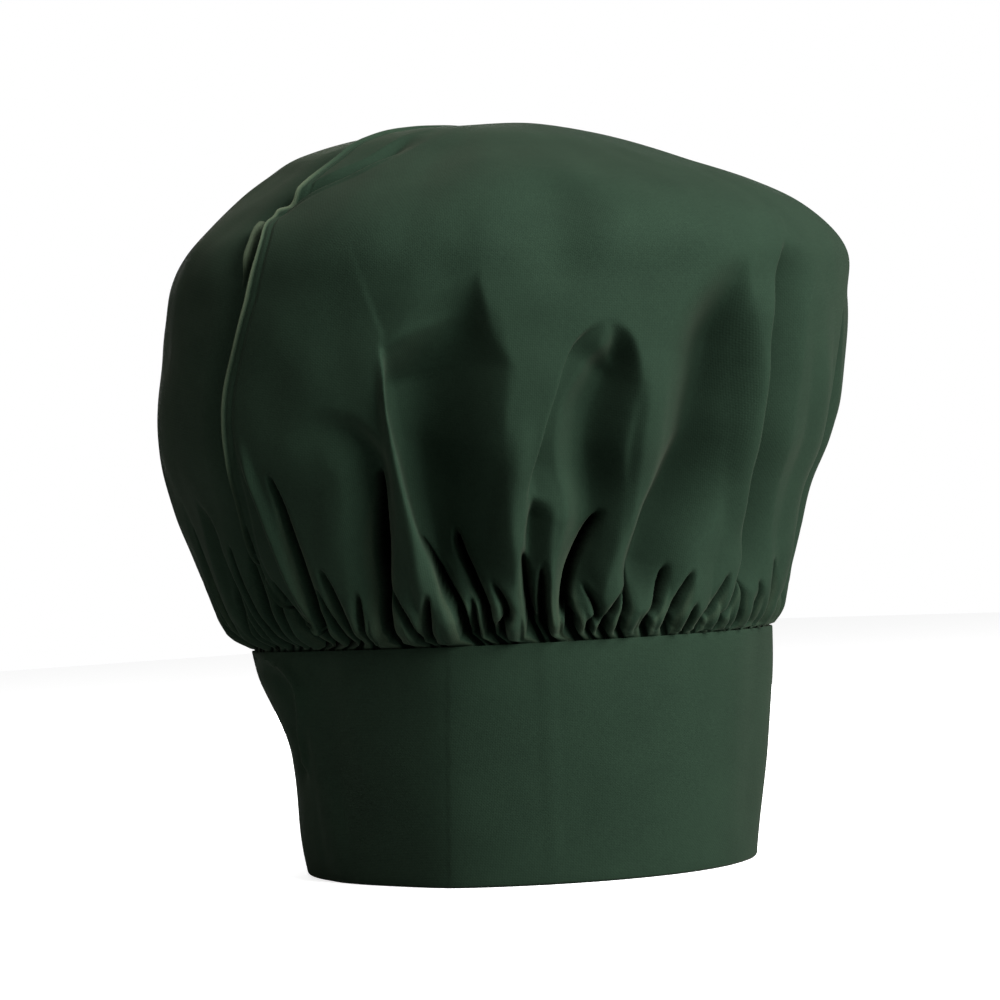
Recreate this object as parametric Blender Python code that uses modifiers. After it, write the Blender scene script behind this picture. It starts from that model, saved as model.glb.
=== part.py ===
"""Floppy chef's toque: a two-panel puffed crown gathered into a stiffened headband,
with a hook-and-loop closure at the back.

Metres, +Z up. The front of the hat faces -Y, the closure is at +Y, and the crown's
side seams are at -X and +X. The origin is under the middle of the headband's lower edge.
"""

from math import atan2, cos, degrees, hypot, radians, sin

import bmesh
import bpy
from mathutils import Matrix, Vector

# Headband
BAND_HEIGHT = 0.090
BAND_BOTTOM_RADIUS = 0.0896  # outer face at the folded lower edge
BAND_TOP_RADIUS = 0.0995  # outer face at the crown seam
HEAD_OVAL = 0.004  # a head is longer front to back than it is wide
BACK_UPRIGHT = 0.0074  # the band flares less by this much at the closure
UPRIGHT_SPREAD = 60
CLOTH = 0.0006
GAP = 0.0003
INTERFACING = 0.0006
BAND_THICKNESS = 2 * CLOTH + 2 * GAP + INTERFACING
FOLD_ROUND = 0.0005

# Closure: the strip starts under the overlap, goes once round and ends in a tab
STEP = 5  # degrees between stations along the strip
UNDERLAP_END = 75
BACK = 90
TAB_ROOT = BACK + 360
TAB_END = TAB_ROOT + 25
TAB_ROOT_GAP = 0.25
TAPE = 0.0010
TAPE_LOW = 0.032
TAPE_WIDTH = 0.025
LOOP_TAPE = (80, 116)
HOOK_TAPE = (TAB_ROOT + 6, TAB_ROOT + 22)
LAP_STEP = BAND_THICKNESS + 2 * TAPE + 3 * GAP
LAP_RISE = (400, 432)  # where the strip steps outwards to pass over its other end
TAB_LIFT = 0.003  # the tab's lower edge stays clear of the table as it peels open

# Crown: radius and height of its outline above the headband
CROWN_HEIGHT = 0.206
CROWN_OVAL = 0.0025
CROWN_OUTLINE = (
    (0.1070, 0.011),
    (0.1190, 0.034),
    (0.1265, 0.060),
    (0.1340, 0.085),
    (0.1375, 0.115),
    (0.1345, 0.144),
    (0.1170, 0.169),
    (0.0880, 0.187),
    (0.0460, 0.200),
    (0.0000, CROWN_HEIGHT),
)
SEAM_INSERT = 0.007  # the crown's raw edge inside the headband
GATHERS = 16
GATHER_DEPTH = 0.003
# The deep soft folds: angle, half width in degrees, height above the band, depth
FOLDS = (
    (24, 15, 0.090, 0.006),
    (58, 14, 0.120, 0.008),
    (118, 15, 0.120, 0.007),
    (150, 15, 0.100, 0.008),
    (206, 11, 0.120, 0.009),
    (226, 12, 0.145, 0.010),
    (246, 11, 0.125, 0.009),
    (266, 13, 0.140, 0.007),
    (286, 11, 0.150, 0.008),
    (325, 16, 0.110, 0.008),
)
# Each end of the top edge is tucked in, which leaves a blunt corner at the side seam
CORNER_HEIGHT = 0.150
CORNER_RISE = 0.030
CORNER_SPREAD = 26
CORNER_REACH = 0.004
SLIT_HEIGHT = 0.060
SEAM_ALLOWANCE = 0.008
PANEL_GAP = 0.0002

# Small parts
THREAD = 0.00025
LABEL_SIZE = (0.0004, 0.030, 0.042)
LABEL_DROP = 0.008


def clear_scene():
    for old in list(bpy.data.objects):
        bpy.data.objects.remove(old, do_unlink=True)
    toque = bpy.data.collections.new("chef_toque")
    bpy.context.scene.collection.children.link(toque)
    return toque


def fabric(name, colour, roughness=0.9):
    made = bpy.data.materials.new(name)
    made.use_nodes = True
    shader = made.node_tree.nodes["Principled BSDF"]
    shader.inputs["Base Color"].default_value = (*colour, 1.0)
    shader.inputs["Roughness"].default_value = roughness
    shader.inputs["Metallic"].default_value = 0.0
    return made


def smoothstep(low, high, value):
    t = min(1.0, max(0.0, (value - low) / (high - low)))
    return t * t * (3 - 2 * t)


def lerp(a, b, t):
    return a + (b - a) * t


def smooth_line(points, per_span):
    """A Catmull-Rom curve through the points."""
    line = []
    last = len(points) - 1
    for i in range(last):
        before, a, b, after = (
            Vector(points[max(0, min(last, k))]) for k in range(i - 1, i + 3)
        )
        for s in range(per_span):
            t = s / per_span
            line.append(
                0.5
                * (
                    2 * a
                    + (b - before) * t
                    + (2 * before - 5 * a + 4 * b - after) * t**2
                    + (3 * a - before - 3 * b + after) * t**3
                )
            )
    return [*line, Vector(points[-1])]


# Headband strip


def lap_offset(angle):
    return LAP_STEP * smoothstep(*LAP_RISE, angle)


def bump(distance, reach):
    """1 at no distance, falling smoothly to 0 at the reach."""
    return 1 - smoothstep(0, reach, abs(distance))


def apart(angle, other):
    return (angle - other + 180) % 360 - 180


def back_upright(angle, z):
    near_back = bump(apart(angle, BACK), UPRIGHT_SPREAD)
    return BACK_UPRIGHT * near_back * min(1.0, z / BAND_HEIGHT)


def strip_point(angle, depth, z):
    """A point of the headband strip, depth inwards from its outer face."""
    radius = lerp(BAND_BOTTOM_RADIUS, BAND_TOP_RADIUS, z / BAND_HEIGHT)
    radius += lap_offset(angle) - depth - back_upright(angle, z)
    turn = radians(angle)
    return Vector(((radius - HEAD_OVAL) * cos(turn), (radius + HEAD_OVAL) * sin(turn), z))


def stations(start, end):
    """Strip angles from start to end, on the multiples of STEP between them."""
    inner = [a for a in range(0, 720, STEP) if start + 1 < a < end - 1]
    return [start, *inner, end]


def finish_mesh(name, bm, material, collection, smooth=True):
    bmesh.ops.recalc_face_normals(bm, faces=bm.faces)
    mesh = bpy.data.meshes.new(name)
    bm.to_mesh(mesh)
    bm.free()
    if smooth:
        mesh.shade_smooth()
        mesh.set_sharp_from_angle(angle=radians(40))
    mesh.materials.append(material)
    made = bpy.data.objects.new(name, mesh)
    collection.objects.link(made)
    return made


def add_wall(bm, here, ahead, i, j):
    """Two triangles between stations. Their shared edge always rises with the angle, so
    that layers which twist together stay the same distance apart."""
    if here[j].co.z >= here[i].co.z:
        bm.faces.new((here[i], here[j], ahead[j]))
        bm.faces.new((here[i], ahead[j], ahead[i]))
    else:
        bm.faces.new((here[i], here[j], ahead[i]))
        bm.faces.new((here[j], ahead[j], ahead[i]))


def wrapped_strip(name, section, start, end, material, collection):
    """A flat strip of this (depth, z) section, wrapped round the head and capped."""
    bm = bmesh.new()
    rings = [
        [bm.verts.new(strip_point(angle, depth, z)) for depth, z in section]
        for angle in stations(start, end)
    ]
    for here, ahead in zip(rings, rings[1:]):
        for i in range(len(here)):
            add_wall(bm, here, ahead, i, (i + 1) % len(here))
    bm.faces.new(rings[0])
    bm.faces.new(rings[-1])
    return finish_mesh(name, bm, material, collection)


def rectangle(near, far, low, high):
    return ((near, low), (near, high), (far, high), (far, low))


def folded_section(low):
    """The strip's cloth: outer wall, folded lower edge and lining, open at the top."""
    inside = BAND_THICKNESS - CLOTH
    top = BAND_HEIGHT - low
    return (
        (FOLD_ROUND, low),
        (0, low + FOLD_ROUND),
        (0, top),
        (CLOTH, top),
        (CLOTH, low + CLOTH),
        (inside, low + CLOTH),
        (inside, top),
        (BAND_THICKNESS, top),
        (BAND_THICKNESS, low + FOLD_ROUND),
        (BAND_THICKNESS - FOLD_ROUND, low),
    )


def interfacing_section(low):
    near = CLOTH + GAP
    return rectangle(
        near,
        near + INTERFACING,
        low + CLOTH + GAP,
        BAND_HEIGHT - SEAM_INSERT - 3 * GAP,
    )


def make_headband(cloth, stiffener, collection):
    wrapped_strip(
        "headband_shell", folded_section(0), UNDERLAP_END, TAB_ROOT, cloth, collection
    )
    wrapped_strip(
        "headband_interfacing",
        interfacing_section(0),
        UNDERLAP_END + 1,
        TAB_ROOT - 1,
        stiffener,
        collection,
    )


def make_closure_tab(cloth, stiffener, collection):
    start = TAB_ROOT + TAB_ROOT_GAP
    wrapped_strip(
        "closure_tab_shell", folded_section(TAB_LIFT), start, TAB_END, cloth, collection
    )
    wrapped_strip(
        "closure_tab_interfacing",
        interfacing_section(TAB_LIFT),
        start + 1,
        TAB_END - 1,
        stiffener,
        collection,
    )


def make_tapes(loop, hook, collection):
    top = TAPE_LOW + TAPE_WIDTH
    on_underlap = rectangle(-GAP - TAPE, -GAP, TAPE_LOW, top)
    wrapped_strip("loop_tape", on_underlap, *LOOP_TAPE, loop, collection)
    near = BAND_THICKNESS + GAP
    under_tab = rectangle(near, near + TAPE, TAPE_LOW, top)
    wrapped_strip("hook_tape", under_tab, *HOOK_TAPE, hook, collection)


# Threads


def thread_line(name, points, material, collection, closed=False):
    curve = bpy.data.curves.new(name, "CURVE")
    curve.dimensions = "3D"
    curve.bevel_depth = THREAD
    curve.bevel_resolution = 0
    curve.use_fill_caps = not closed
    spline = curve.splines.new("POLY")
    spline.points.add(len(points) - 1)
    for slot, point in zip(spline.points, points):
        slot.co = (*point, 1)
    spline.use_cyclic_u = closed
    curve.materials.append(material)
    made = bpy.data.objects.new(name, curve)
    collection.objects.link(made)
    return made


def stitched_box(name, span, depth, material, collection):
    """A rectangle of stitches round a tape, just inside its edges."""
    inset = 0.002
    low, high = TAPE_LOW + inset, TAPE_LOW + TAPE_WIDTH - inset
    along = stations(span[0] + 1, span[1] - 1)
    there = [strip_point(a, depth, low) for a in along]
    back = [strip_point(a, depth, high) for a in reversed(along)]
    thread_line(name, there + back, material, collection, closed=True)


def make_stitching(thread, collection):
    outside = -(GAP + THREAD)
    inside = BAND_THICKNESS + GAP + THREAD
    stitched_box("hook_tape_stitching", HOOK_TAPE, outside, thread, collection)
    stitched_box("loop_tape_stitching", LOOP_TAPE, inside, thread, collection)
    seam_height = BAND_HEIGHT - SEAM_INSERT / 2
    # The seam starts past the underlap's end and stops short of the tab's root.
    ring = [
        strip_point(a, inside, seam_height) for a in stations(BACK + 2, TAB_ROOT - 2)
    ]
    thread_line("gather_stitching", ring, thread, collection)
    inset = 0.004
    heights = (TAB_LIFT + inset, BAND_HEIGHT / 2, BAND_HEIGHT - inset)
    tab_edge = [strip_point(TAB_END - 2, outside, z) for z in heights]
    thread_line("tab_end_stitching", tab_edge, thread, collection)


# Crown


def crown_section():
    """(radius, z) of the crown's middle surface, from its raw edge up to its top."""
    base = BAND_TOP_RADIUS - BAND_THICKNESS / 2
    taper = (BAND_TOP_RADIUS - BAND_BOTTOM_RADIUS) / BAND_HEIGHT
    foot = [Vector((base - taper * SEAM_INSERT, -SEAM_INSERT)), Vector((base, 0.0))]
    flare = [(base, 0.0012), (base + 0.0025, 0.005), *CROWN_OUTLINE]
    line = foot + smooth_line([(base, 0.0), *flare], 2)[1:]
    return [(radius, BAND_HEIGHT + height) for radius, height in line]


def fold_depth(angle, above):
    total = 0.0
    for middle, half_width, height, depth in FOLDS:
        across = bump(apart(angle, middle), half_width)
        up = smoothstep(0, 0.03, above) * (1 - smoothstep(0.45 * height, height, above))
        total += depth * across * up
    return total


def corner_reach(angle, above):
    from_seam = min(angle % 180, 180 - angle % 180)
    up = bump(above - CORNER_HEIGHT, CORNER_RISE)
    return CORNER_REACH * up * bump(from_seam, CORNER_SPREAD)


def crown_point(radius, angle, z):
    """The crown's surface: oval, rippled by its gathers, and stepped out with the
    headband on the outer side of the closure."""
    above = z - BAND_HEIGHT
    oval = lerp(-HEAD_OVAL, CROWN_OVAL, smoothstep(0, 0.09, above))
    gathered = smoothstep(0, 0.02, above) * (1 - smoothstep(0.05, 0.11, above))
    radius += GATHER_DEPTH * gathered * sin(radians(GATHERS * angle))
    radius += corner_reach(angle, above) - fold_depth(angle, above)
    radius -= back_upright(angle, z) * (1 - smoothstep(0, 0.05, above))
    if angle <= BACK:
        radius += lap_offset(angle + 360) * (1 - smoothstep(0, SLIT_HEIGHT, above))
    turn = radians(angle)
    return Vector(((radius + oval) * cos(turn), (radius - oval) * sin(turn), z))


def spun_half():
    """Half a turn of the crown's outline, as an open surface from angle 0 to 180."""
    bm = bmesh.new()
    line = [bm.verts.new((radius, 0, z)) for radius, z in crown_section()]
    edges = [bm.edges.new(pair) for pair in zip(line, line[1:])]
    bmesh.ops.spin(
        bm,
        geom=line + edges,
        cent=(0, 0, 0),
        axis=(0, 0, 1),
        angle=radians(180),
        steps=180 // STEP,
    )
    bmesh.ops.remove_doubles(bm, verts=bm.verts, dist=1e-6)
    return bm


def open_slit(bm):
    """Parts the surface along the centre back, from the raw edge to the slit's top."""
    top = BAND_HEIGHT + SLIT_HEIGHT
    cut = [
        edge
        for edge in bm.edges
        if all(abs(v.co.x) < 1e-6 and v.co.y > 0 and v.co.z < top for v in edge.verts)
    ]
    bmesh.ops.split_edges(bm, edges=cut)
    for vert in bm.verts:
        if abs(vert.co.x) < 1e-6 and vert.is_boundary and vert.co.y > 1e-6:
            middle = sum((f.calc_center_median().x for f in vert.link_faces), 0.0)
            opening = 0.0008 * (1 - smoothstep(0, SLIT_HEIGHT, vert.co.z - BAND_HEIGHT))
            side = 1 if middle > 0 else -1
            vert.co.x = side * (0.0003 + opening) if opening > 0 else 0.0


def make_crown_panel(name, is_back, cloth, collection):
    bm = spun_half()
    if is_back:
        open_slit(bm)
    else:
        bmesh.ops.rotate(bm, verts=bm.verts, matrix=Matrix.Rotation(radians(180), 3, "Z"))
    side = 1 if is_back else -1
    for vert in bm.verts:
        at_seam = abs(vert.co.y) < 1e-6
        radius = hypot(vert.co.x, vert.co.y)
        angle = degrees(atan2(vert.co.y, vert.co.x)) % 360
        if at_seam:
            angle = 0.0 if vert.co.x >= 0 else 180.0
        if at_seam and not is_back and angle == 0.0:
            angle = 360.0
        vert.co = crown_point(radius, angle, vert.co.z)
        if at_seam:
            vert.co.y = side * PANEL_GAP
    panel = finish_mesh(name, bm, cloth, collection)
    shell = panel.modifiers.new("cloth", "SOLIDIFY")
    shell.thickness = CLOTH
    shell.offset = 0
    shell.use_even_offset = True
    return panel


def make_seam_allowance(cloth, collection):
    """Both panels' edges overlocked together: a ridge inside the crown, from one side
    of the headband over the top to the other."""
    above = [(r, z) for r, z in crown_section() if z > BAND_HEIGHT + 0.012]
    right = [crown_point(r, 360.0, z) for r, z in above]
    left = [crown_point(r, 180.0, z) for r, z in above[:-1]]
    arch = right + left[::-1]
    bm = bmesh.new()
    line = [bm.verts.new((p.x, 0, p.z)) for p in arch]
    edges = [bm.edges.new(pair) for pair in zip(line, line[1:])]
    inward = []
    for i, vert in enumerate(line):
        ahead, behind = line[min(i + 1, len(line) - 1)], line[max(i - 1, 0)]
        along = (ahead.co - behind.co).normalized()
        inward.append(Vector((-along.z, 0, along.x)))
    grown = bmesh.ops.extrude_edge_only(bm, edges=edges)["geom"]
    inner = [g for g in grown if isinstance(g, bmesh.types.BMVert)]
    clearance = CLOTH / 2 + GAP
    for vert in inner:
        nearest = min(range(len(line)), key=lambda i: (line[i].co - vert.co).length)
        vert.co += inward[nearest] * (clearance + SEAM_ALLOWANCE)
    for vert, way in zip(line, inward):
        vert.co += way * clearance
    ridge = finish_mesh("crown_seam_allowance", bm, cloth, collection)
    shell = ridge.modifiers.new("overlocked_edges", "SOLIDIFY")
    shell.thickness = 2 * CLOTH
    shell.offset = 0
    return ridge


def make_bar_tack(thread, collection):
    """A dense bar of zigzag stitches across the top of the crown's slit."""
    size = (0.008, 0.0006, 0.002)
    above = SLIT_HEIGHT + 0.004
    radius = next(r for r, z in crown_section() if z >= BAND_HEIGHT + above)
    centre = crown_point(radius, BACK, BAND_HEIGHT + above)
    bpy.ops.mesh.primitive_cube_add(size=1, location=centre + Vector((0, 0.0016, 0)))
    tack = bpy.context.object
    tack.name = "slit_bar_tack"
    tack.scale = size
    tack.rotation_euler.x = radians(-17)
    adopt(tack, thread, collection)
    return tack


# Care label


def adopt(made, material, collection):
    bpy.context.view_layer.update()
    made.data.transform(Matrix.Diagonal((*made.scale, 1)))
    made.scale = (1, 1, 1)
    made.data.materials.append(material)
    for old in list(made.users_collection):
        old.objects.unlink(made)
    collection.objects.link(made)


def make_care_label(label, thread, collection):
    """A plain label sewn by its upper edge inside the headband, on the hat's left."""
    width, height = LABEL_SIZE[1], LABEL_SIZE[2]
    top = BAND_HEIGHT - LABEL_DROP
    wall_slope = atan2(BAND_TOP_RADIUS - BAND_BOTTOM_RADIUS, BAND_HEIGHT)
    # The label is flat, so its middle stands off the curved wall.
    bulge = (width / 2) ** 2 / (2 * BAND_BOTTOM_RADIUS)
    stand_off = BAND_THICKNESS + bulge + 2 * GAP
    hinge = strip_point(360, stand_off, top)
    pivot = bpy.data.objects.new("care_label_hinge", None)
    pivot.location = hinge
    pivot.rotation_euler.y = wall_slope
    collection.objects.link(pivot)
    bpy.ops.mesh.primitive_cube_add(size=1)
    plate = bpy.context.object
    plate.name = "care_label"
    plate.scale = LABEL_SIZE
    adopt(plate, label, collection)
    plate.parent = pivot
    plate.location = (0, 0, -height / 2 - 3 * GAP)
    edge = [hinge + Vector((0, y, 2 * THREAD)) for y in (-width / 2, 0, width / 2)]
    thread_line("care_label_stitching", edge, thread, collection)


def main():
    toque = clear_scene()
    twill = fabric("green_twill", (0.036, 0.062, 0.043))
    fleece = fabric("white_interfacing", (0.72, 0.72, 0.69))
    loop = fabric("loop_pile", (0.020, 0.034, 0.024), 0.95)
    hook = fabric("hook_nylon", (0.016, 0.026, 0.019), 0.45)
    thread = fabric("green_thread", (0.040, 0.070, 0.048), 0.6)
    label = fabric("white_label", (0.80, 0.80, 0.78), 0.55)
    make_crown_panel("crown_front_panel", False, twill, toque)
    make_crown_panel("crown_back_panel", True, twill, toque)
    make_seam_allowance(twill, toque)
    make_bar_tack(thread, toque)
    make_headband(twill, fleece, toque)
    make_closure_tab(twill, fleece, toque)
    make_tapes(loop, hook, toque)
    make_stitching(thread, toque)
    make_care_label(label, thread, toque)


main()
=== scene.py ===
"""The looks of a floppy green chef's toque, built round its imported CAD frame.

Metres, +Z up, in the CAD's frame: the front faces -Y, the closure is at +Y and the crown's
side seams are at -X and +X. An angle of 0 is +X, 90 the back, 180 -X and 270 the front.
"""

from math import cos, degrees, pi, radians, sin

import bmesh
import bpy
import numpy as np
from mathutils import Matrix, Vector
from numpy.linalg import norm


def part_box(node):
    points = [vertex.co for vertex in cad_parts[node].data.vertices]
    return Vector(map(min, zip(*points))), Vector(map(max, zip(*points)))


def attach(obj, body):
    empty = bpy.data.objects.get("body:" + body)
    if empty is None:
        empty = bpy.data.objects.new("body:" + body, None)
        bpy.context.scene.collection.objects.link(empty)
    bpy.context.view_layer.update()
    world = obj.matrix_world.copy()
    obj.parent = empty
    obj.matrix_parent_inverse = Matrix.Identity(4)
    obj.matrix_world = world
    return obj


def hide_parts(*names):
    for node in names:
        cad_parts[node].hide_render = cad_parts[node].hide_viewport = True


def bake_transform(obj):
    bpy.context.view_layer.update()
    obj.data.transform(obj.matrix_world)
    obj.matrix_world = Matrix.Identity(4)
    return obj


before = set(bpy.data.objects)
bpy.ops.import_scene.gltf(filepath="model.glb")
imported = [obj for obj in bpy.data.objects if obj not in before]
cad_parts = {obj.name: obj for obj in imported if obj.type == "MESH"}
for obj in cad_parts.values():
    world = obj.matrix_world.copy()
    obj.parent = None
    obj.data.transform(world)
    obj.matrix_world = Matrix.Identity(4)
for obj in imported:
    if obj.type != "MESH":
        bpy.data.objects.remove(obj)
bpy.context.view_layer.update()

# Camera
AZIMUTH = -40
DISTANCE = 1.25
CAMERA_HEIGHT = 0.120
FACING = 230  # the angle that faces the camera

# Headband, as in the CAD
BAND_HEIGHT = 0.090
BAND_BOTTOM_RADIUS = 0.0896
BAND_TOP_RADIUS = 0.0995
HEAD_OVAL = 0.004  # narrower by this across the hat, and longer from front to back
BACK_UPRIGHT = 0.0074  # how far the back's upper edge comes in
UPRIGHT_SPREAD = 60  # degrees each side of the back over which it does
CLOTH = 0.0006
BAND_THICKNESS = 0.0024
BACK = 90
UNDERLAP_END = 75
STRAP_START = 425
TAB_ROOT = 450
TAB_END = 475
LAP_STEP = 0.0053  # how far the lapping end stands out
LOOP_TAPE = (80, 116)
HOOK_TAPE = (456, 472)
LAP_RISE = (400, 432)  # where it steps out
TAB_LIFT = 0.003  # the tab is narrower by this at each edge
MM_PER_DEGREE = 1.66  # round the headband
LINER_GAP = 0.0003  # between a wall and the stiffener
LINER_THICKNESS = 0.0006
STITCH_PROUD = 0.0001  # how far a seam's thread stands off the cloth
TAPE_HEIGHTS = (0.0320, 0.0570)
TAPE_STITCH_HEIGHTS = (0.0338, 0.0552)
TAPE_THICKNESS = 0.0008
HINGE_REACH = 4.2  # degrees each side of the tab's root that the stiffeners leave free

# Crown outline: height, radius at the closure's end of the view, radius at the other end
CROWN_TOP = 0.2935
OUTLINE = (
    (0.090, 0.1080, 0.1005),
    (0.094, 0.1160, 0.1040),
    (0.102, 0.1215, 0.1075),
    (0.114, 0.1250, 0.1105),
    (0.130, 0.1290, 0.1145),
    (0.146, 0.1333, 0.1195),
    (0.162, 0.1375, 0.1275),
    (0.180, 0.1385, 0.1330),
    (0.200, 0.1375, 0.1360),
    (0.220, 0.1355, 0.1376),
    (0.236, 0.1320, 0.1372),
    (0.247, 0.1262, 0.1300),
    (0.257, 0.1165, 0.1185),
    (0.266, 0.1055, 0.1020),
    (0.275, 0.0930, 0.0790),
    (0.284, 0.0780, 0.0530),
    (0.2900, 0.0550, 0.0310),
    (0.2928, 0.0290, 0.0150),
    (CROWN_TOP, 0.0, 0.0),
)
COLUMNS = 1320
ROWS = 330
SLIT_COLUMN = COLUMNS // 4
SEAM_INSET = 0.0011  # from the seam to its raw edges, inside
SLIT_TOP = 0.150
TUCK_FOOT = 94.5  # millimetres
# The crown's edge inside the headband, up to where it comes out: height above the top
CROWN_FOOT = (-0.0065, -0.0030, 0.0004)


# Small maths, on numpy arrays


def ease(low, high, value):
    t = np.clip((value - low) / (high - low), 0.0, 1.0)
    return t * t * (3 - 2 * t)


def fade(low, high, value):
    return 1 - ease(low, high, value)


def bell(off, width):
    return np.exp(-((off / width) ** 2))


def apart(angle, other):
    return (angle - other + 180.0) % 360.0 - 180.0


def spline(knots, at):
    """A smooth curve through (place, value) knots, read at these places."""
    k, v = np.array(knots, float).T
    slope = np.gradient(v, k)
    i = np.clip(np.searchsorted(k, at) - 1, 0, len(k) - 2)
    h = k[i + 1] - k[i]
    t = np.clip((at - k[i]) / h, 0.0, 1.0)
    return (
        (2 * t**3 - 3 * t**2 + 1) * v[i]
        + (t**3 - 2 * t**2 + t) * h * slope[i]
        + (3 * t**2 - 2 * t**3) * v[i + 1]
        + (t**3 - t**2) * h * slope[i + 1]
    )


def value_noise(x, y, seed, wrap=None):
    """Smooth noise from -1 to 1. It repeats along x every wrap units, if wrap is given."""
    table = np.random.default_rng(seed).uniform(-1, 1, 4096)
    xi, yi = np.floor(x).astype(int), np.floor(y).astype(int)
    fx, fy = x - xi, y - yi
    fx, fy = fx * fx * (3 - 2 * fx), fy * fy * (3 - 2 * fy)

    def corner(dx, dy):
        cx = xi + dx
        if wrap:
            cx = cx % wrap
        return table[(cx * 73 + (yi + dy) * 1009) % 4096]

    low = corner(0, 0) * (1 - fx) + corner(1, 0) * fx
    high = corner(0, 1) * (1 - fx) + corner(1, 1) * fx
    return low * (1 - fy) + high * fy


def unit(vectors):
    return vectors / np.maximum(norm(vectors, axis=-1, keepdims=True), 1e-12)


def outwards(angle):
    """Level directions away from the hat's middle."""
    turn = np.radians(angle)
    return np.stack([np.cos(turn), np.sin(turn), 0 * turn], -1)


def arc_lengths(line):
    """How far along a line each of its points is."""
    return np.concatenate([[0], np.cumsum(norm(np.diff(line, axis=0), axis=1))])


def read_along(at, along, vectors):
    return np.stack([np.interp(at, along, vectors[:, k]) for k in range(3)], -1)


# Crown shape


def fold(path, push, low, high, crest=2, edge=2, point=0, taper=1, rise=22,
         open_end=False, under=0):
    """A fold is a line on the crown through (angle, height) points, with how far it pushes
    the cloth in (negative) or out, and how far it reaches on the lower-angle side and on
    the higher-angle side, in millimetres. Its middle line is crisp if crest is under 2,
    and its outer edges are crisp if edge is under 2. A fold with a point starts narrow,
    and is at its full width that share of the way along: its top is a triangle with a
    taper of 1, and round with one of a half. It deepens over its first rise millimetres.
    An open end doesn't fade. A reach may be a pair, for the line's start and its end.
    The cloth moves sideways too, by this share under: a fold that is pushed in then lies
    under its lower-angle side."""
    if open_end:
        path = (*path, (path[-1][0], 1e3 * BAND_HEIGHT - 4))
    path = [(angle, height / 1e3) for angle, height in path]
    low, high = (reach if isinstance(reach, tuple) else (reach, reach) for reach in (low, high))
    return path, push, low, high, crest, edge, point, taper, rise, open_end, under


def tuck(depth, half, foot, *above):
    """A gathered tuck: a narrow gap that opens downwards to the headband's edge, with the
    cloth rounding into it from both sides. Its line runs down through these (angle,
    height) points to its foot. Millimetres."""
    path = (*above, (foot, TUCK_FOOT))
    (top_angle, top), (next_angle, next_height) = path[:2]
    further = 0.45 * (top - next_height)
    lean = (top_angle - next_angle) / (top - next_height)
    path = ((top_angle + lean * further, top + further), *path[1:])
    return (
        fold(path, -1.5 * depth, 0.72 * half, 0.72 * half, 2.6, 0.8, 0.45, 0.6, 6, True),
        fold(path, -0.35 * depth, 2.4 * half, 2.4 * half, 1.8, 1.7, 0.4, 0.7, 8, True),
    )


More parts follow.
